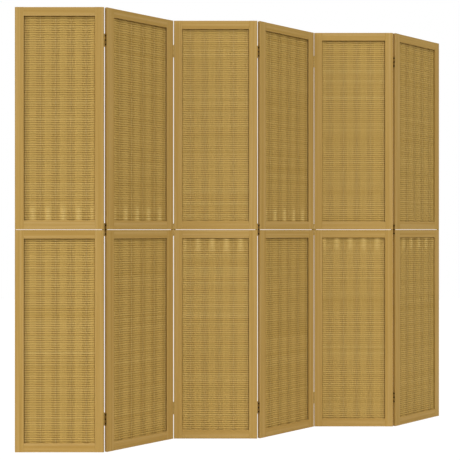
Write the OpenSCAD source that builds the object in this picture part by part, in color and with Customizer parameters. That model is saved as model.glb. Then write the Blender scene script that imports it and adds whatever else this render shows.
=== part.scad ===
// Folding screen of six hinged panels. Each panel is an upper and a lower wooden frame,
// tied together at mid height by a hinge or a plate at each edge, and each frame holds a
// woven infill in its grooves.
// Millimetres, +Z up, floor at z = 0. The origin lies under the middle of the screen's
// box as it stands: odd panels square to the front, even panels turned back.

/* [Screen] */
// Height of the screen
screen_h = 1750; // [1200:10:2200]
// Width of one panel
panel_w = 349.4; // [250:0.1:600]
// Thickness of a panel
panel_t = 14; // [12:0.5:24]
// Turn at each fold as the screen stands, where 0 is flat
fold_angle = 45; // [10:1:80]

/* [Frames] */
// Width of a stile
stile_w = 35; // [32:1:60]
// Height of a rail
rail_h = 35; // [32:1:70]
// Radius on the long edges of stiles and rails
edge_r = 1; // [0.5:0.1:2.5]
// Slit between the upper and the lower frame of a panel
seam_gap = 1.7; // [0.5:0.1:5]

/* [Infill] */
// Thickness of the woven infill
weave_t = 4; // [3:0.1:7]
// How far the infill is tucked into the frame all round
weave_tuck = 5; // [2:0.5:7]
// Depth of the groove in stiles and rails
groove_depth = 6; // [3:0.5:8]
// Play between the infill and each side of its groove
groove_clear = 0.1; // [0.05:0.05:0.3]
// Diameter of the upright stakes that the infill is woven round
stake_d = 1.6; // [1.2:0.1:2.8]
// Distance from stake to stake
stake_pitch = 30; // [15:1:60]
// Play round a stake
stake_clear = 0.05; // [0.02:0.01:0.1]

/* [Dowels] */
// Diameter of the dowels
dowel_d = 6; // [4:0.5:6]
// Length of the dowels between stile and rail
corner_dowel_l = 26; // [18:1:28]
// Distance between the two dowels of a corner joint
corner_dowel_pitch = 16; // [12:1:20]
// Glue film round a dowel
dowel_clear = 0.05; // [0.02:0.01:0.1]

/* [Hinges] */
// Height of a hinge
hinge_h = 50; // [40:1:80]
// Distance from the top and the bottom of the screen to the middle of the outer hinges
hinge_inset = 128; // [80:1:300]
// Thickness of a hinge leaf
leaf_t = 0.9; // [0.6:0.1:1.2]
// Wood left beside the free edge of a leaf
leaf_margin = 2; // [1:0.5:3]
// Number of knuckles on a hinge, shared by its two leaves
knuckle_count = 5; // [3:2:7]
// Radius of the knuckles
barrel_r = 2.3; // [2:0.1:3]
// Radius of the hinge pin
pin_r = 1.2; // [0.8:0.1:1.4]
// Running fit between pin and knuckle
pin_clear = 0.05; // [0.02:0.01:0.1]
// Height of the button at each end of the pin
pin_button_h = 0.8; // [0.5:0.1:1.5]
// Gap between one knuckle and the next
knuckle_gap = 0.2; // [0.1:0.05:0.4]
// Room between a turning knuckle and the wood or leaf beside it
barrel_clear = 0.4; // [0.2:0.1:0.6]
// Slit between two panels when the screen is opened flat
hinge_gap = 1.5; // [1.2:0.1:3]
// How far the pin's axis stands out from the face of the panels
pin_proud = 1; // [0.6:0.1:2]

/* [Tie plates] */
// Height of the plate that ties the two frames at a free edge
tie_h = 50; // [40:1:80]
// Width of a tie plate
tie_w = 10; // [9:0.5:12]
// Distance from screw to screw on a tie plate
tie_screw_pitch = 12; // [9:0.5:13]

/* [Screws] */
// Diameter of a screw's head
head_d = 7; // [5:0.1:7.5]
// Height of the countersunk head
head_h = 1.75; // [1.2:0.05:2.5]
// Diameter of a screw's shank
shank_d = 3.5; // [2.5:0.1:4]
// Length of a screw, head included
screw_l = 8; // [7:0.5:13]
// Length of a screw's point
point_l = 3; // [1:0.5:4]
// Distance from screw to screw on a hinge leaf
screw_pitch = 17.3; // [12:0.1:18]
// Play round a screw
screw_clear = 0.05; // [0.02:0.01:0.1]
// Length of each arm of the cross in a screw's head
cross_l = 3.6; // [2:0.1:4.5]
// Width of the arms of the cross
cross_w = 0.8; // [0.4:0.1:1.2]
// Depth of the cross
cross_depth = 1; // [0.5:0.1:1.2]

/* [Hidden] */
panel_count = 6;
panels = [1 : panel_count];
folds = [1 : panel_count - 1];

LEFT = -1;  // a panel's left edge, seen from the front
RIGHT = 1;  // a panel's right edge
LOWER = 0;  // the lower frame of a panel
UPPER = 1;  // the upper frame
levels = [LOWER, UPPER];
sides = [LEFT, RIGHT];

wood_color = "#B89858";
weave_color = "#BE9E61";
stake_color = "#A9884E";
dowel_color = "#CBB27A";
brass_color = "#96803F";
pin_color = "#7D6A36";
screw_color = "#2B2521";
cut = 1; // how far a cutter runs past the face that it opens
$fn = 48;

frame_h = (screen_h - seam_gap) / 2;
opening_w = panel_w - 2 * stile_w;
opening_h = frame_h - 2 * rail_h;
weave_w = opening_w + 2 * weave_tuck;
weave_h = opening_h + 2 * weave_tuck;
stake_count = floor(opening_w / stake_pitch) + 1;
corner_bore = corner_dowel_l / 2 + 0.3; // half a corner dowel and the air at its end
leaf_w = panel_t + pin_proud - leaf_margin;
screw_line = pin_proud + (panel_t - leaf_margin) / 2;
knuckle_h = hinge_h / knuckle_count;
hinge_heights = [hinge_inset, screen_h / 2, screen_h - hinge_inset];
hinge_screws = [-screw_pitch, 0, screw_pitch];
tie_screws = [-1.5, -0.5, 0.5, 1.5] * tie_screw_pitch;

// The plan of the folds, from above, with panel 1's front left corner at 0
function turned(v, a) = [v.x * cos(a) - v.y * sin(a), v.x * sin(a) + v.y * cos(a)];
function turn(k) = k % 2 == 0 ? fold_angle : 0;
function pin_behind(f) = f % 2 == 1;
function pin_y(f) = pin_behind(f) ? panel_t + pin_proud : -pin_proud;
function corner(k) = k == 1 ? [0, 0] : pin(k - 1) - turned([-hinge_gap / 2, pin_y(k - 1)], turn(k));
function pin(f) = corner(f) + turned([panel_w + hinge_gap / 2, pin_y(f)], turn(f));

// The back right corner of the screen's box, which the last panel's rounded edges reach
front_round = turned([panel_w - edge_r, edge_r], turn(panel_count));
back_round = turned([panel_w - edge_r, panel_t - edge_r], turn(panel_count));
box_corner = corner(panel_count) + [front_round.x + edge_r, back_round.y + edge_r];
echo(pins = [for (f = folds) pin(f) - box_corner / 2], box = box_corner);

// Puts what is drawn in a panel's own frame where that panel stands
module on_panel(k) {
    at = corner(k) - box_corner / 2;
    translate([at.x, at.y, 0]) rotate(turn(k)) children();
}

// A frame whose origin is on the pin of fold f, at the height z, for the panel beside it:
// the leaf is at -X and the panel's other face towards -Y
module at_pin(f, side, z) {
    translate([side == RIGHT ? panel_w + hinge_gap / 2 : -hinge_gap / 2, pin_y(f), z])
        mirror([side == RIGHT ? 0 : 1, 0, 0])
            mirror([0, pin_behind(f) ? 0 : 1, 0]) children();
}

// A frame whose origin is in the middle of a panel's edge, with the panel at -X
module at_edge(side) {
    translate([side == RIGHT ? panel_w : 0, panel_t / 2, screen_h / 2])
        mirror([side == RIGHT ? 0 : 1, 0, 0]) children();
}

function frame_z(level) = level * (frame_h + seam_gap);
function has_fold(k, side) = side == LEFT ? k > 1 : k < panel_count;
function fold_of(k, side) = side == LEFT ? k - 1 : k;

module rounded_section(w, t) {
    translate([edge_r, 0]) square([w - 2 * edge_r, t]);
    translate([0, edge_r]) square([w, t - 2 * edge_r]);
    for (x = [edge_r, w - edge_r], y = [edge_r, t - edge_r]) translate([x, y]) circle(edge_r);
}

// Frames

module stile(k, side, level) {
    difference() {
        translate([side == RIGHT ? panel_w - stile_w : 0, 0, frame_z(level)])
            linear_extrude(frame_h) rounded_section(stile_w, panel_t);
        groove(level);
        corner_dowels(level, dowel_clear, corner_bore);
        if (has_fold(k, side))
            for (z = hinge_heights) at_pin(fold_of(k, side), side, z) hinge_seat();
        else
            at_edge(side) tie_seat();
    }
}

module rail(level, z) {
    difference() {
        translate([stile_w, 0, z])
            rotate([90, 0, 90]) linear_extrude(opening_w) rounded_section(panel_t, rail_h);
        groove(level);
        corner_dowels(level, dowel_clear, corner_bore);
    }
}

module stiles(k) {
    color(wood_color) for (side = sides, level = levels) stile(k, side, level);
}

module rails() {
    color(wood_color)
        for (level = levels, z = [0, frame_h - rail_h]) rail(level, frame_z(level) + z);
}

module groove(level) {
    slot_t = weave_t + 2 * groove_clear;
    translate([stile_w - groove_depth, (panel_t - slot_t) / 2,
               frame_z(level) + rail_h - groove_depth])
        cube([opening_w + 2 * groove_depth, slot_t, opening_h + 2 * groove_depth]);
}

// Infill

module weave(level) {
    color(weave_color)
        difference() {
            translate([stile_w - weave_tuck, (panel_t - weave_t) / 2,
                       frame_z(level) + rail_h - weave_tuck])
                cube([weave_w, weave_t, weave_h]);
            stake_row(level, stake_d / 2 + stake_clear, weave_h + 2 * cut);
        }
}

module stake_row(level, r, l) {
    middle = [panel_w / 2, panel_t / 2, frame_z(level) + frame_h / 2];
    for (i = [0 : stake_count - 1])
        translate(middle + [(i - (stake_count - 1) / 2) * stake_pitch, 0, 0])
            cylinder(r = r, h = l, center = true);
}

module stakes() {
    color(stake_color) for (level = levels) stake_row(level, stake_d / 2, weave_h);
}

// Dowels, drawn true or, for their bores, with the glue film and the bore's depth

module corner_dowels(level, clear, half_l) {
    for (x = [stile_w, panel_w - stile_w], rail_z = [0, frame_h - rail_h], step = [-0.5, 0.5])
        translate([x, panel_t / 2, frame_z(level) + rail_z + rail_h / 2 + step * corner_dowel_pitch])
            rotate([0, 90, 0]) cylinder(r = dowel_d / 2 + clear, h = 2 * half_l, center = true);
}

module dowels() {
    color(dowel_color) for (level = levels) corner_dowels(level, 0, corner_dowel_l / 2);
}

// Hinges, about the pin of a fold

module leaf(first_knuckle) {
    color(brass_color)
        difference() {
            union() {
                translate([-hinge_gap / 2 - leaf_t, -leaf_w, -hinge_h / 2])
                    cube([leaf_t, leaf_w, hinge_h]);
                knuckles(first_knuckle, barrel_r, knuckle_h - knuckle_gap);
            }
            cylinder(r = pin_r + pin_clear, h = hinge_h + cut, center = true);
            knuckles(1 - first_knuckle, barrel_r + barrel_clear, knuckle_h + knuckle_gap);
            for (z = hinge_screws) translate([-hinge_gap / 2, -screw_line, z]) screw_hole();
        }
}

// Every second knuckle, from the first of the leaf that they belong to
module knuckles(first, r, h) {
    for (i = [first : 2 : knuckle_count - 1])
        translate([0, 0, (i + 0.5) * knuckle_h - hinge_h / 2])
            cylinder(r = r, h = h, center = true);
}

module hinge_pin() {
    color(pin_color) {
        cylinder(r = pin_r, h = hinge_h, center = true);
        for (end = [-1, 1])
            translate([0, 0, end * (hinge_h + pin_button_h) / 2])
                cylinder(r = barrel_r, h = pin_button_h, center = true);
    }
}

// What the wood gives up to a leaf, its knuckles and its screws
module hinge_seat() {
    translate([-hinge_gap / 2 - leaf_t, -leaf_w - screw_clear, -hinge_h / 2 - screw_clear])
        cube([leaf_t + cut, leaf_w + cut, hinge_h + 2 * screw_clear]);
    cylinder(r = barrel_r + barrel_clear, h = hinge_h + 2 * (pin_button_h + barrel_clear), center = true);
    for (z = hinge_screws) translate([-hinge_gap / 2, -screw_line, z]) screw_hole();
}

module left_leaves(f) {
    for (z = hinge_heights) at_pin(f, RIGHT, z) leaf(0);
}

module right_leaves(f) {
    for (z = hinge_heights) at_pin(f, LEFT, z) leaf(1);
}

module pins(f) {
    for (z = hinge_heights) at_pin(f, RIGHT, z) hinge_pin();
}

// Tie plates, flush in the free edges of the first and the last panel

module tie_plate() {
    color(brass_color)
        difference() {
            translate([-leaf_t, -tie_w / 2, -tie_h / 2]) cube([leaf_t, tie_w, tie_h]);
            for (z = tie_screws) translate([0, 0, z]) screw_hole();
        }
}

module tie_seat() {
    translate([-leaf_t, -tie_w / 2 - screw_clear, -tie_h / 2 - screw_clear])
        cube([leaf_t + cut, tie_w + 2 * screw_clear, tie_h + 2 * screw_clear]);
    for (z = tie_screws) translate([0, 0, z]) screw_hole();
}

// Screws, running from the origin towards -X

module screw_body(clear) {
    rotate([0, -90, 0]) {
        cylinder(r1 = head_d / 2 + clear, r2 = shank_d / 2 + clear, h = head_h);
        cylinder(r = shank_d / 2 + clear, h = screw_l - point_l);
        translate([0, 0, screw_l - point_l])
            cylinder(r1 = shank_d / 2 + clear, r2 = shank_d / 10 + clear, h = point_l);
    }
}

module screw_hole() {
    screw_body(screw_clear);
    rotate([0, 90, 0]) cylinder(r = head_d / 2 + screw_clear, h = cut);
}

module screw() {
    color(screw_color)
        difference() {
            screw_body(0);
            for (a = [0, 90])
                rotate([a, 0, 0]) cube([2 * cross_depth, cross_l, cross_w], center = true);
        }
}

module screws(k) {
    for (side = sides)
        if (has_fold(k, side))
            for (z = hinge_heights, dz = hinge_screws)
                at_pin(fold_of(k, side), side, z + dz) translate([-hinge_gap / 2, -screw_line, 0]) screw();
        else
            for (z = tie_screws) at_edge(side) translate([0, 0, z]) screw();
}

for (k = panels) {
    name = str("panel_", k, "_");
    on_panel(k) stiles(k);
    on_panel(k) rails();
    on_panel(k) weave(UPPER);
    on_panel(k) weave(LOWER);
    on_panel(k) stakes();
    on_panel(k) dowels();
    on_panel(k) screws(k);
}
for (f = folds) {
    name = str("fold_", f, "_");
    on_panel(f) left_leaves(f);
    on_panel(f + 1) right_leaves(f);
    on_panel(f) pins(f);
}
on_panel(1) at_edge(LEFT) tie_plate();  // left_tie_plate
on_panel(panel_count) at_edge(RIGHT) tie_plate();  // right_tie_plate
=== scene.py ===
import math
import random

import bmesh
import bpy
from mathutils import Matrix, Vector, noise


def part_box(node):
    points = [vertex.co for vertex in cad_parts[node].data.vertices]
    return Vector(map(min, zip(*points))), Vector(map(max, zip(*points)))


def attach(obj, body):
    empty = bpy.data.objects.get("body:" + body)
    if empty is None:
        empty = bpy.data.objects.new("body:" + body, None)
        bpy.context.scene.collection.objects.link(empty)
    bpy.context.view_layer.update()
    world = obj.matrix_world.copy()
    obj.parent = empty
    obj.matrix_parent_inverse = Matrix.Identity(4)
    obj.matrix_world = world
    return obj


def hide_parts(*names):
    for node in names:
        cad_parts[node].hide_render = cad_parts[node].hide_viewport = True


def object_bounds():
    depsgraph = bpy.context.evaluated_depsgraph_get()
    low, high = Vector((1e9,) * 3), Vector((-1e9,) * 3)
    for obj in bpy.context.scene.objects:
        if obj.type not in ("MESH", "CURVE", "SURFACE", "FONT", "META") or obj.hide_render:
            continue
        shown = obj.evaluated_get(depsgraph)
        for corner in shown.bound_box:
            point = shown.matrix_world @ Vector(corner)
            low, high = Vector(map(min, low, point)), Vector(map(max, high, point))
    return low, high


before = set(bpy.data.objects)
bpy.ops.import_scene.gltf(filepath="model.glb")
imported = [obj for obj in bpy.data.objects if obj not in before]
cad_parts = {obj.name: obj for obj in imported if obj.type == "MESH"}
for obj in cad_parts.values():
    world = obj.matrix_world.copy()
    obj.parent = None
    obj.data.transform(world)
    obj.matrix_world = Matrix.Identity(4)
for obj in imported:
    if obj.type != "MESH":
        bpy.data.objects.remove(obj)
cadLow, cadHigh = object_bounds()

mm = 0.001

# The screen as it was packed. Even panels are turned back, odd ones stand square to the front.
screen = {
    "panels": 6,
    "turn": math.radians(45),
    "seamHeight": (cadLow.z + cadHigh.z) / 2,
}


def panelTurn(panel):
    return screen["turn"] if panel % 2 == 0 else 0


def panelPlace(panel):
    # a panel's rails lie evenly about its middle, so the middle of their box is the panel's own
    low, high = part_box(f"panel_{panel}_rails")
    return Matrix.Translation((low + high) / 2) @ Matrix.Rotation(panelTurn(panel), 4, "Z")


# Camera and light

camera = {
    "place": (-0.0688, -4.2236, 0.875),
    "focalPixels": 977.4,   # from the edges of all six panels in the photograph
    "imagePixels": 460,
    "horizonPixel": 229.65,
    "sensorWidth": 36,
}


def makeCamera():
    data = bpy.data.cameras.new("camera")
    data.sensor_width = camera["sensorWidth"]
    data.lens = camera["sensorWidth"] * camera["focalPixels"] / camera["imagePixels"]
    data.shift_y = (camera["horizonPixel"] - camera["imagePixels"] / 2) / camera["imagePixels"]
    data.clip_end = 100
    obj = bpy.data.objects.new("camera", data)
    obj.location = camera["place"]
    obj.rotation_euler = (math.pi / 2, 0, 0)
    bpy.context.scene.collection.objects.link(obj)
    bpy.context.scene.camera = obj


# Azimuth is counted from the front towards the viewer's right, elevation from the floor.
lamps = {
    "right": {"azimuth": 18, "elevation": 50, "spread": 50, "strength": 2.03},
    "left": {"azimuth": -68, "elevation": 26, "spread": 50, "strength": 1.66},
    "behind": {"azimuth": 170, "elevation": 40, "spread": 40, "strength": 0.9},
}
sky = {"strength": 0.2, "seenStrength": 1.0}   # seen directly, a strength of 1 is white
floor = {
    "size": 16,
    "drop": 0.5 * mm,
    "color": "#DCDCDA",
    "seenColor": 0.12,   # seen directly, a dark floor that glows nearly white and keeps the shadow
    "seenGlow": 0.93,
}


def addNode(tree, kind, inputs=None, **settings):
    node = tree.nodes.new(kind)
    for name, value in settings.items():
        setattr(node, name, value)
    for name, value in (inputs or {}).items():
        socket = node.inputs[name]
        if isinstance(value, bpy.types.NodeSocket):
            tree.links.new(value, socket)
        else:
            socket.default_value = value
    return node


def linear(hexColor):
    # sRGB to linear, opaque
    parts = [int(hexColor[i:i + 2], 16) / 255 for i in (1, 3, 5)]
    return [c / 12.92 if c <= 0.04045 else ((c + 0.055) / 1.055) ** 2.4 for c in parts] + [1]


def newMaterial(name):
    material = bpy.data.materials.new(name)
    material.use_nodes = True
    material.node_tree.nodes.clear()
    return material, material.node_tree


def finishMaterial(material, shader):
    addNode(material.node_tree, "ShaderNodeOutputMaterial", {"Surface": shader.outputs[0]})
    return material


def objectFrom(bm, name):
    mesh = bpy.data.meshes.new(name)
    bm.to_mesh(mesh)
    bm.free()
    obj = bpy.data.objects.new(name, mesh)
    bpy.context.scene.collection.objects.link(obj)
    return obj


def makeLamps():
    for name, lamp in lamps.items():
        data = bpy.data.lights.new(name, "SUN")
        data.energy = lamp["strength"]
        data.angle = math.radians(lamp["spread"])
        azimuth, elevation = math.radians(lamp["azimuth"]), math.radians(lamp["elevation"])
        towards = Vector((math.sin(azimuth) * math.cos(elevation),
                          -math.cos(azimuth) * math.cos(elevation), math.sin(elevation)))
        obj = bpy.data.objects.new(name, data)
        obj.rotation_euler = towards.to_track_quat("Z", "Y").to_euler()
        bpy.context.scene.collection.objects.link(obj)


def seenDirectly(tree):
    # 1 where the camera, a reflection or a clear surface looks, and 0 where only light is gathered
    path = addNode(tree, "ShaderNodeLightPath")
    cameraOrGlossy = addNode(tree, "ShaderNodeMath", {
        0: path.outputs["Is Camera Ray"], 1: path.outputs["Is Glossy Ray"]}, operation="MAXIMUM")
    return addNode(tree, "ShaderNodeMath", {
        0: cameraOrGlossy.outputs[0], 1: path.outputs["Is Transmission Ray"]},
        operation="MAXIMUM").outputs[0]


def makeSky():
    world = bpy.data.worlds.new("sky")
    world.use_nodes = True
    tree = world.node_tree
    tree.nodes.clear()
    strength = addNode(tree, "ShaderNodeMapRange", {
        "Value": seenDirectly(tree), "To Min": sky["strength"], "To Max": sky["seenStrength"]})
    background = addNode(tree, "ShaderNodeBackground", {"Color": (1, 1, 1, 1),
                                                        "Strength": strength.outputs[0]})
    addNode(tree, "ShaderNodeOutputWorld", {"Surface": background.outputs[0]})
    bpy.context.scene.world = world


def makeFloor():
    bm = bmesh.new()
    bmesh.ops.create_grid(bm, x_segments=1, y_segments=1, size=floor["size"] / 2,
                          matrix=Matrix.Translation((0, 0, -floor["drop"])))
    obj = objectFrom(bm, "floor")
    material, tree = newMaterial("Pale matt floor")
    seen = seenDirectly(tree)
    color = addNode(tree, "ShaderNodeMix", {
        "Factor": seen, "A": linear(floor["color"]), "B": [floor["seenColor"]] * 3 + [1]},
        data_type="RGBA")
    glow = addNode(tree, "ShaderNodeMath", {0: seen, 1: floor["seenGlow"]}, operation="MULTIPLY")
    matt = addNode(tree, "ShaderNodeBsdfDiffuse", {"Color": color.outputs["Result"]})
    light = addNode(tree, "ShaderNodeEmission", {"Strength": glow.outputs[0]})
    both = addNode(tree, "ShaderNodeAddShader", {0: matt.outputs[0], 1: light.outputs[0]})
    obj.data.materials.append(finishMaterial(material, both))


# Materials

def ramp(tree, factor, stops):
    node = addNode(tree, "ShaderNodeValToRGB", {"Fac": factor})
    elements = node.color_ramp.elements
    while len(elements) < len(stops):
        elements.new(0.5)
    for element, (position, hexColor) in zip(elements, stops):
        element.position = position
        element.color = linear(hexColor)
    return node.outputs["Color"]


pine = {
    "dark": "#B08C48",
    "middle": "#B89552",
    "light": "#BE9C5E",
    "ring": "#A17D3E",
    # painted shade: the colour that the rounded edges are darkened towards
    "paintedShading": "#A08048",
    "bandWidth": 9 * mm,      # broad stripes of early and late wood
    "bandLength": 900 * mm,
    "ringWidth": 2.4 * mm,    # year rings, cut nearly upright
    "ringLength": 300 * mm,
    "ringRange": (0.56, 0.78),  # of its noise, from where a ring sets in to where it is full
    "ringShare": 0.45,        # of the ring's colour where it is full
    "fibreWidth": 0.5 * mm,
    "fibreLength": 14 * mm,
    "fibreRange": (0.35, 0.75),  # of their noise, from darkest to lightest
    "fibreTone": 0.04,        # how much the fibres darken and lighten the wood
    "nextBoard": (0.31, 0.17, 0.23),  # metres in the grain from the lower board to the upper one
    "edgeRange": (0.97, 0.8),  # how nearly the wood faces along its axes, from flat to round
    "edgeShare": 0.5,         # of the painted shade colour on the round
    "roughness": (0.5, 0.65),
    "gloss": 0.12,
    "ior": 1.5,
    "relief": 0.4,
    "bump": 0.12 * mm,
}


# Pine, planed, stained honey and varnished matt: long straight grain, the rounded edges painted a
# little darker as shade
def stainedPine(name, turn, alongRail):
    material, tree = newMaterial(name)
    place = addNode(tree, "ShaderNodeTexCoord")
    local = addNode(tree, "ShaderNodeMapping", {"Vector": place.outputs["Object"],
                                                "Rotation": (0, 0, -turn)}).outputs[0]
    axes = addNode(tree, "ShaderNodeSeparateXYZ", {"Vector": local})
    # the boards above and below the seam are not of one length
    upper = addNode(tree, "ShaderNodeMath", {0: axes.outputs["Z"], 1: screen["seamHeight"]},
                    operation="GREATER_THAN")
    shift = addNode(tree, "ShaderNodeVectorMath", {0: upper.outputs[0], 1: pine["nextBoard"]},
                    operation="MULTIPLY")
    board = addNode(tree, "ShaderNodeVectorMath", {0: local, 1: shift.outputs[0]}, operation="ADD")

    def stretched(across, along):
        size = (along, across, across) if alongRail else (across, across, along)
        return addNode(tree, "ShaderNodeMapping", {
            "Vector": board.outputs[0], "Scale": [1 / length for length in size]}).outputs[0]

    bands = addNode(tree, "ShaderNodeTexNoise", {
        "Vector": stretched(pine["bandWidth"], pine["bandLength"]),
        "Scale": 1.0, "Detail": 2.0, "Roughness": 0.5})
    rings = addNode(tree, "ShaderNodeTexNoise", {
        "Vector": stretched(pine["ringWidth"], pine["ringLength"]),
        "Scale": 1.0, "Detail": 1.0, "Roughness": 0.4})
    fibres = addNode(tree, "ShaderNodeTexNoise", {
        "Vector": stretched(pine["fibreWidth"], pine["fibreLength"]),
        "Scale": 1.0, "Detail": 2.0, "Roughness": 0.6})
    body = ramp(tree, bands.outputs["Fac"], [(0.3, pine["dark"]), (0.5, pine["middle"]),
                                             (0.7, pine["light"])])
    ringShare = addNode(tree, "ShaderNodeMapRange", {
        "Value": rings.outputs["Fac"], "From Min": pine["ringRange"][0],
        "From Max": pine["ringRange"][1], "To Max": pine["ringShare"]})
    grained = addNode(tree, "ShaderNodeMix", {"Factor": ringShare.outputs[0], "A": body,
                                              "B": linear(pine["ring"])}, data_type="RGBA")
    fibreTone = addNode(tree, "ShaderNodeMapRange", {
        "Value": fibres.outputs["Fac"], "From Min": pine["fibreRange"][0],
        "From Max": pine["fibreRange"][1], "To Min": 1 - pine["fibreTone"],
        "To Max": 1 + pine["fibreTone"]})
    lined = addNode(tree, "ShaderNodeVectorMath", {0: grained.outputs["Result"],
                                                   1: fibreTone.outputs[0]}, operation="MULTIPLY")
    # on the rounded edges the surface faces between two axes of the board; there painted shade
    # darkens the wood
    facing = addNode(tree, "ShaderNodeMapping", {"Vector": place.outputs["Normal"],
                                                 "Rotation": (0, 0, -turn)})
    straight = addNode(tree, "ShaderNodeVectorMath", {0: facing.outputs[0]}, operation="ABSOLUTE")
    sides = addNode(tree, "ShaderNodeSeparateXYZ", {"Vector": straight.outputs[0]})
    wide = addNode(tree, "ShaderNodeMath", {0: sides.outputs["X"], 1: sides.outputs["Y"]},
                   operation="MAXIMUM")
    flat = addNode(tree, "ShaderNodeMath", {0: wide.outputs[0], 1: sides.outputs["Z"]},
                   operation="MAXIMUM")
    edge = addNode(tree, "ShaderNodeMapRange", {
        "Value": flat.outputs[0], "From Min": pine["edgeRange"][0],
        "From Max": pine["edgeRange"][1], "To Max": pine["edgeShare"]})
    paintedShading = addNode(tree, "ShaderNodeMix", {"Factor": edge.outputs[0], "A": lined.outputs[0],
                                           "B": linear(pine["paintedShading"])}, data_type="RGBA")
    gloss = addNode(tree, "ShaderNodeMapRange", {"Value": bands.outputs["Fac"],
                                                 "To Min": pine["roughness"][0],
                                                 "To Max": pine["roughness"][1]})
    relief = addNode(tree, "ShaderNodeBump", {
        "Height": fibres.outputs["Fac"], "Strength": pine["relief"], "Distance": pine["bump"]})
    shader = addNode(tree, "ShaderNodeBsdfPrincipled", {
        "Base Color": paintedShading.outputs["Result"], "Roughness": gloss.outputs[0], "IOR": pine["ior"],
        "Specular IOR Level": pine["gloss"], "Normal": relief.outputs[0]})
    return finishMaterial(material, shader)


cane = {
    "dark": "#B5934A",
    "middle": "#C4A25A",
    "light": "#D8BA73",
    # painted shade: the strands' dark colour stands for the shadow and dark gaps along them
    "strand": "#785818",
    "fibreWidth": 0.7 * mm,
    "fibreLength": 30 * mm,
    "fibreTone": 0.22,        # how much the fibres darken and lighten a strip
    "roughness": (0.5, 0.7),
    "gloss": 0.15,
    "ior": 1.5,
    "relief": 0.5,
    "bump": 0.15 * mm,
}


# Split cane, soaked and woven, then varnished: fibres run along each strip, and each strip has its
# own tone, with painted shade and painted light laid over it
def splitCane(name, turn):
    material, tree = newMaterial(name)
    place = addNode(tree, "ShaderNodeTexCoord")
    local = addNode(tree, "ShaderNodeMapping", {"Vector": place.outputs["Object"],
                                                "Rotation": (0, 0, -turn)}).outputs[0]
    fibres = addNode(tree, "ShaderNodeMapping", {
        "Vector": local, "Scale": (1 / cane["fibreLength"], 1 / cane["fibreWidth"],
                                   1 / cane["fibreWidth"])})
    lines = addNode(tree, "ShaderNodeTexNoise", {"Vector": fibres.outputs[0], "Scale": 1.0,
                                                 "Detail": 2.0, "Roughness": 0.6})
    # the strip's own tone with painted light and shade on it, and how far it is a strand painted
    # dark as shade
    tone = addNode(tree, "ShaderNodeAttribute", attribute_name="stripToneAndShade")
    strand = addNode(tree, "ShaderNodeAttribute", attribute_name="strandShadeShare")
    fibreTone = addNode(tree, "ShaderNodeMapRange", {
        "Value": lines.outputs["Fac"], "To Min": -cane["fibreTone"], "To Max": cane["fibreTone"]})
    toned = addNode(tree, "ShaderNodeMath", {0: tone.outputs["Fac"], 1: fibreTone.outputs[0]},
                    operation="ADD")
    body = ramp(tree, toned.outputs[0], [(0.0, cane["dark"]), (0.5, cane["middle"]),
                                         (1.0, cane["light"])])
    colored = addNode(tree, "ShaderNodeMix", {"Factor": strand.outputs["Fac"], "A": body,
                                              "B": linear(cane["strand"])}, data_type="RGBA")
    gloss = addNode(tree, "ShaderNodeMapRange", {"Value": lines.outputs["Fac"],
                                                 "To Min": cane["roughness"][0],
                                                 "To Max": cane["roughness"][1]})
    relief = addNode(tree, "ShaderNodeBump", {
        "Height": lines.outputs["Fac"], "Strength": cane["relief"], "Distance": cane["bump"]})
    shader = addNode(tree, "ShaderNodeBsdfPrincipled", {
        "Base Color": colored.outputs["Result"], "Roughness": gloss.outputs[0], "IOR": cane["ior"],
        "Specular IOR Level": cane["gloss"], "Normal": relief.outputs[0]})
    return finishMaterial(material, shader)


reed = {
    "dark": "#C4A25A",
    "light": "#DCC07C",
    "fibreWidth": 0.6 * mm,
    "fibreLength": 40 * mm,
    "roughness": 0.65,
    "relief": 0.4,
    "bump": 0.1 * mm,
}


# Peeled reed, the stakes: pale, dull and finely ribbed along its length
def peeledReed():
    material, tree = newMaterial("Peeled reed")
    place = addNode(tree, "ShaderNodeTexCoord")
    ribs = addNode(tree, "ShaderNodeMapping", {
        "Vector": place.outputs["Object"],
        "Scale": (1 / reed["fibreWidth"], 1 / reed["fibreWidth"], 1 / reed["fibreLength"])})
    lines = addNode(tree, "ShaderNodeTexNoise", {"Vector": ribs.outputs[0], "Scale": 1.0,
                                                 "Detail": 2.0})
    body = ramp(tree, lines.outputs["Fac"], [(0.3, reed["dark"]), (0.7, reed["light"])])
    relief = addNode(tree, "ShaderNodeBump", {
        "Height": lines.outputs["Fac"], "Strength": reed["relief"], "Distance": reed["bump"]})
    shader = addNode(tree, "ShaderNodeBsdfPrincipled", {
        "Base Color": body, "Roughness": reed["roughness"], "Normal": relief.outputs[0]})
    return finishMaterial(material, shader)


beech = {
    "dark": "#BE9C66",
    "light": "#D3B684",
    "fleckWidth": 0.8 * mm,
    "fleckLength": 5 * mm,
    "roughness": 0.7,
}


# Beech dowels, turned and raw: even, with short flecks
def rawBeech():
    material, tree = newMaterial("Raw beech")
    place = addNode(tree, "ShaderNodeTexCoord")
    flecks = addNode(tree, "ShaderNodeMapping", {
        "Vector": place.outputs["Object"],
        "Scale": (1 / beech["fleckLength"], 1 / beech["fleckWidth"], 1 / beech["fleckWidth"])})
    lines = addNode(tree, "ShaderNodeTexNoise", {"Vector": flecks.outputs[0], "Scale": 1.0})
    body = ramp(tree, lines.outputs["Fac"], [(0.35, beech["dark"]), (0.65, beech["light"])])
    shader = addNode(tree, "ShaderNodeBsdfPrincipled", {"Base Color": body,
                                                        "Roughness": beech["roughness"]})
    return finishMaterial(material, shader)


brass = {
    "dark": "#A4884C",
    "light": "#BCA062",
    "lineWidth": 0.25 * mm,
    "lineLength": 12 * mm,
    "stain": 7 * mm,
    "roughness": (0.45, 0.65),
    "relief": 0.3,
    "bump": 0.03 * mm,
}


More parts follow.
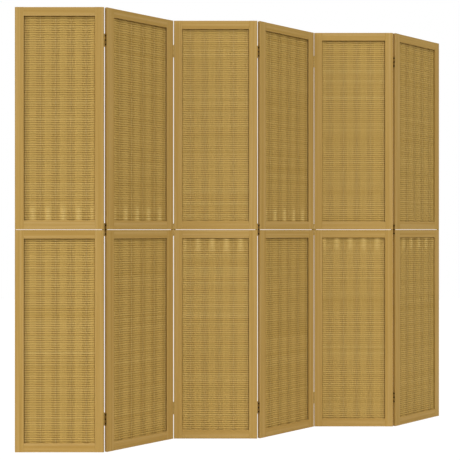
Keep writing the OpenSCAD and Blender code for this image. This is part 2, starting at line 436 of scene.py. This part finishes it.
# Brass sheet and wire, brushed upright and lacquered: dull gold with darker stains
def brushedBrass():
    material, tree = newMaterial("Brushed brass")
    place = addNode(tree, "ShaderNodeTexCoord")
    brushed = addNode(tree, "ShaderNodeMapping", {
        "Vector": place.outputs["Object"],
        "Scale": (1 / brass["lineWidth"], 1 / brass["lineWidth"], 1 / brass["lineLength"])})
    lines = addNode(tree, "ShaderNodeTexNoise", {"Vector": brushed.outputs[0], "Scale": 1.0})
    stains = addNode(tree, "ShaderNodeTexNoise", {"Vector": place.outputs["Object"],
                                                  "Scale": 1 / brass["stain"], "Detail": 3.0})
    body = ramp(tree, stains.outputs["Fac"], [(0.3, brass["dark"]), (0.65, brass["light"])])
    gloss = addNode(tree, "ShaderNodeMapRange", {"Value": lines.outputs["Fac"],
                                                 "To Min": brass["roughness"][0],
                                                 "To Max": brass["roughness"][1]})
    relief = addNode(tree, "ShaderNodeBump", {
        "Height": lines.outputs["Fac"], "Strength": brass["relief"], "Distance": brass["bump"]})
    shader = addNode(tree, "ShaderNodeBsdfPrincipled", {
        "Base Color": body, "Metallic": 1.0, "Roughness": gloss.outputs[0],
        "Normal": relief.outputs[0]})
    return finishMaterial(material, shader)


steel = {
    "black": "#12100E",
    "rubbed": "#241E1A",
    "patch": 1.5 * mm,
    "roughness": (0.55, 0.35),   # black and rubbed
}


# Steel screws, blackened: nearly black, a little browner where a driver has rubbed them
def blackenedSteel():
    material, tree = newMaterial("Blackened steel")
    place = addNode(tree, "ShaderNodeTexCoord")
    patches = addNode(tree, "ShaderNodeTexNoise", {"Vector": place.outputs["Object"],
                                                   "Scale": 1 / steel["patch"], "Detail": 2.0})
    body = ramp(tree, patches.outputs["Fac"], [(0.4, steel["black"]), (0.75, steel["rubbed"])])
    gloss = addNode(tree, "ShaderNodeMapRange", {"Value": patches.outputs["Fac"],
                                                 "To Min": steel["roughness"][0],
                                                 "To Max": steel["roughness"][1]})
    shader = addNode(tree, "ShaderNodeBsdfPrincipled", {"Base Color": body, "Metallic": 1.0,
                                                        "Roughness": gloss.outputs[0]})
    return finishMaterial(material, shader)


def dressNodes():
    def dress(name, material):
        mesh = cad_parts[name].data
        mesh.materials.clear()
        mesh.materials.append(material)

    turns = {turn: round(math.degrees(turn)) for turn in (0, screen["turn"])}
    upright = {turn: stainedPine(f"Stained pine, upright, turned {degrees}", turn, False)
               for turn, degrees in turns.items()}
    along = {turn: stainedPine(f"Stained pine, along the rail, turned {degrees}", turn, True)
             for turn, degrees in turns.items()}
    stakes, dowels, metal, screws = peeledReed(), rawBeech(), brushedBrass(), blackenedSteel()
    for panel in range(1, screen["panels"] + 1):
        dress(f"panel_{panel}_stiles", upright[panelTurn(panel)])
        dress(f"panel_{panel}_rails", along[panelTurn(panel)])
        dress(f"panel_{panel}_stakes", stakes)
        dress(f"panel_{panel}_dowels", dowels)
        dress(f"panel_{panel}_screws", screws)
    for fold in range(1, screen["panels"]):
        for part in ("left_leaves", "right_leaves", "pins"):
            dress(f"fold_{fold}_{part}", metal)
    for side in ("left", "right"):
        dress(f"{side}_tie_plate", metal)


# The woven infill: wide bands of split cane and narrow strands, painted dark as the shade along
# them, take turns round the upright stakes. Behind a stake each strip is pressed flat and wide, so
# that hardly any light comes through the weave. In front of a stake narrow lines are left between
# the bands.
infill = {
    "sides": 6,                 # of a strip's section
    "rowPitch": 9.08 * mm,      # one band and one strand
    "stakePitch": 30 * mm,
    "stakeRadius": 0.8 * mm,
    "firstStrand": 1.0 * mm,    # below the top rail
    "bandWidth": 8.7 * mm,      # half way between two stakes
    "bandSpread": 0.22 * mm,    # gained behind a stake and lost in front of one
    "bandThickness": 0.3 * mm,
    "strandWidth": 1.6 * mm,    # where it crosses the bands
    "strandSpread": 1.0 * mm,   # gained behind a stake, so that less light comes through
    "strandThickness": 0.5 * mm,
    "play": 0.05 * mm,          # between a strip and its stake
    "crossing": 0.25,           # how far the crossings lie towards the stakes that bands go before
    "stepLength": 7.5 * mm,     # a strip's segments, four from stake to stake
    "wander": 0.5 * mm,         # how far the rows stray up and down
    "wanderLength": 90 * mm,
    "wanderRows": 0.3,          # how far on in the same noise each next row lies
    "uneven": 0.15 * mm,        # how much one band is wider than another
    "bulge": 2.4 * mm,          # the slack last rows stand out in front of the stakes
    "bulgeHeight": 80 * mm,
    "bulgeFull": 0.4,           # of that height, next to the rail, is slack all the way
    "bulgeSide": 0.4,           # of a stake pitch, over which it dies away at the stiles
    "bulgeSpread": 0.55 * mm,   # the slack bands are wider, so that less light comes through
    "leavesGroove": 0.4,        # how slack a strip is where it has come out of the rail's groove
    "leastWidth": 0.1 * mm,     # what is left of a strip that the rail cuts off
    "toneSpread": 0.07,         # from strip to strip
    "paintedSlackLight": 0.7,           # painted light: what the slack rows are painted paler by, where they stand out into the light
    "paintedEdgeShade": 1.2,            # and painted shade: what their edges are painted darker by, where one hides the next
    "seed": 11,
}

# What differs from panel to panel: whether the bands pass in front of the first stake or the
# second, where the slack rows are, the tone of the cane (0 dark to 1 light), how much painted shade
# darkens the fronts of its bands and painted light lightens their backs, and how dark the strands
# are painted as shade
panelWeave = {
    1: {"frontStake": 1, "slack": "upper", "tone": 0.40, "paintedShading": 0.15, "paintedStrandShade": 1.0},
    2: {"frontStake": 0, "slack": "upper", "tone": 0.29, "paintedShading": 0.0, "paintedStrandShade": 0.65},
    3: {"frontStake": 0, "slack": "lower", "tone": 0.43, "paintedShading": 0.15, "paintedStrandShade": 0.8},
    4: {"frontStake": 0, "slack": "upper", "tone": 0.27, "paintedShading": 0.0, "paintedStrandShade": 0.65},
    5: {"frontStake": 0, "slack": "lower", "tone": 0.43, "paintedShading": 0.15, "paintedStrandShade": 0.8},
    6: {"frontStake": 1, "slack": "lower", "tone": 0.23, "paintedShading": 0.06, "paintedStrandShade": 0.65},
}


rowSpace = 10   # from one straight strip down to the next, in half widths


def straightStrips(steps, rows):
    # strips of a unit radius, a unit long for each step, from the top down
    bm = bmesh.new()
    bmesh.ops.create_circle(bm, segments=infill["sides"], radius=1,
                            matrix=Matrix.Rotation(math.pi / 2, 4, "X")
                            @ Matrix.Rotation(math.pi / 2, 4, "Y"))
    bmesh.ops.spin(bm, geom=bm.verts[:] + bm.edges[:], cent=(0, 0, 0), axis=(1, 0, 0),
                   dvec=(1, 0, 0), angle=0, steps=steps)
    bmesh.ops.holes_fill(bm, edges=[edge for edge in bm.edges if edge.is_boundary])
    bmesh.ops.recalc_face_normals(bm, faces=bm.faces[:])
    bmesh.ops.spin(bm, geom=bm.verts[:] + bm.edges[:] + bm.faces[:], cent=(0, 0, 0),
                   axis=(1, 0, 0), dvec=(0, 0, -rowSpace), angle=0, steps=rows - 1,
                   use_duplicate=True)
    mesh = bpy.data.meshes.new("straight strips")
    bm.to_mesh(mesh)
    bm.free()
    return mesh


def smoothStep(share):
    share = min(max(share, 0), 1)
    return share * share * (3 - 2 * share)


def slackAt(fromRail, fromStile):
    # 1 at the rail, and 0 at the stiles and where the rows are tight
    height, full = infill["bulgeHeight"], infill["bulgeFull"]
    return ((1 - smoothStep((fromRail - full * height) / ((1 - full) * height)))
            * smoothStep(fromStile / (infill["bulgeSide"] * infill["stakePitch"])))


def wovenPiece(panel, level, straight, steps, material):
    weave = panelWeave[panel]
    low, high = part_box(f"panel_{panel}_{level}_weave")
    # a rail is as long as the opening is wide, and the slab goes on into the grooves
    openingLow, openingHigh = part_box("panel_1_rails")
    openingWidth = openingHigh.x - openingLow.x
    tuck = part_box("panel_1_upper_weave")[1].x - openingHigh.x
    top, bottom = high.z - tuck, low.z + tuck
    firstStake = -int(openingWidth / infill["stakePitch"]) / 2 * infill["stakePitch"]
    draw = random.Random(infill["seed"] + 2 * panel + (level == "upper"))
    drift = draw.uniform(0, 100)   # a place of its own in the noise that rows stray by

    def strip(row, strand):
        # at every step, where the strip is, its half width, its tone with painted light and shade,
        # and how much painted shade darkens its edges
        height = top - infill["firstStrand"] - row * infill["rowPitch"]
        if not strand:
            height += infill["rowPitch"] / 2
        thick = infill["strandThickness"] if strand else infill["bandThickness"]
        swing = infill["stakeRadius"] + thick / 2 + infill["play"]
        uneven = draw.uniform(-1, 1) * infill["uneven"]
        ownTone = draw.gauss(weave["tone"], infill["toneSpread"])
        places = []
        for step in range(steps + 1):
            x = (step - steps / 2) * infill["stepLength"]
            turns = (x - firstStake) / infill["stakePitch"] + weave["frontStake"]
            behind = -math.cos(math.pi * turns)
            behind += infill["crossing"] * (1 - behind * behind)
            out = 0
            if strand:
                behind = -behind
                width = infill["strandWidth"] + infill["strandSpread"] * max(behind, 0)
            else:
                width = infill["bandWidth"] + infill["bandSpread"] * behind + uneven
                if weave["slack"] == level and behind < 0:
                    fromRail = height - bottom if level == "upper" else top - height
                    out = slackAt(fromRail, openingWidth / 2 - abs(x)) * -behind
                    width += infill["bulgeSpread"] * out
            stray = noise.noise(Vector((x / infill["wanderLength"], row * infill["wanderRows"],
                                        drift)))
            # painted shading: a band's front is painted darker and its back, in shade behind the
            # stake, lighter; the slack rows are painted paler as painted light where they stand out
            tone = ownTone + weave["paintedShading"] * behind + infill["paintedSlackLight"] * out
            # at the rails a strip goes on into the groove, unless it is slack and lies on the edge
            inGroove = tuck * max(1 - out / infill["leavesGroove"], 0)
            middle = height + infill["wander"] * stray
            lowEdge = max(middle - width / 2, bottom - inGroove)
            highEdge = max(min(middle + width / 2, top + inGroove),
                           lowEdge + infill["leastWidth"])
            places.append((x, swing * behind - infill["bulge"] * out,
                           (lowEdge + highEdge) / 2, (highEdge - lowEdge) / 2, tone,
                           infill["paintedEdgeShade"] * out))
        return places, thick / 2

    bm = bmesh.new()
    toneAndShadeLayer = bm.verts.layers.float.new("stripToneAndShade")
    strandLayer = bm.verts.layers.float.new("strandShadeShare")
    place = panelPlace(panel)
    place.translation.z = 0
    for strand in (False, True):
        known = len(bm.verts)
        bm.from_mesh(straight)
        bm.verts.ensure_lookup_table()
        strips = {}
        for vert in bm.verts[known:]:
            row = round(-vert.co.z / rowSpace)
            if row not in strips:
                strips[row] = strip(row, strand)
            places, halfThick = strips[row]
            x, y, z, halfWidth, tone, edge = places[round(vert.co.x)]
            across = vert.co.z + rowSpace * row
            vert.co = place @ Vector((x, y + vert.co.y * halfThick, z + across * halfWidth))
            # a corner half way out has the strip's own tone, and one at the very edge is painted
            # darker, as shade where one strip hides the next
            vert[toneAndShadeLayer] = tone - edge * (2 * abs(across) - 1)
            # a strand is painted dark, as painted shade
            vert[strandLayer] = weave["paintedStrandShade"] if strand else 0
    for face in bm.faces:
        face.smooth = True
    piece = objectFrom(bm, f"woven_{level}_{panel}")
    piece.data.materials.append(material)
    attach(piece, f"panel_{panel}")
    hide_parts(f"panel_{panel}_{level}_weave")


def makeInfill():
    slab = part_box("panel_1_upper_weave")
    steps = 2 * int((slab[1].x - slab[0].x) / 2 / infill["stepLength"])
    rows = int((slab[1].z - slab[0].z) / infill["rowPitch"]) + 1
    straight = straightStrips(steps, rows)
    materials = {turn: splitCane(f"Split cane, turned {round(math.degrees(turn))}", turn)
                 for turn in (0, screen["turn"])}
    for panel in range(1, screen["panels"] + 1):
        for level in ("upper", "lower"):
            wovenPiece(panel, level, straight, steps, materials[panelTurn(panel)])
        print("woven infill of panel", panel)
    bpy.data.meshes.remove(straight)


bpy.context.scene.view_settings.view_transform = "Standard"
makeCamera()
makeLamps()
makeSky()
makeFloor()
print("camera, light and floor")
dressNodes()
print("frames, hinges and screws dressed")
makeInfill()
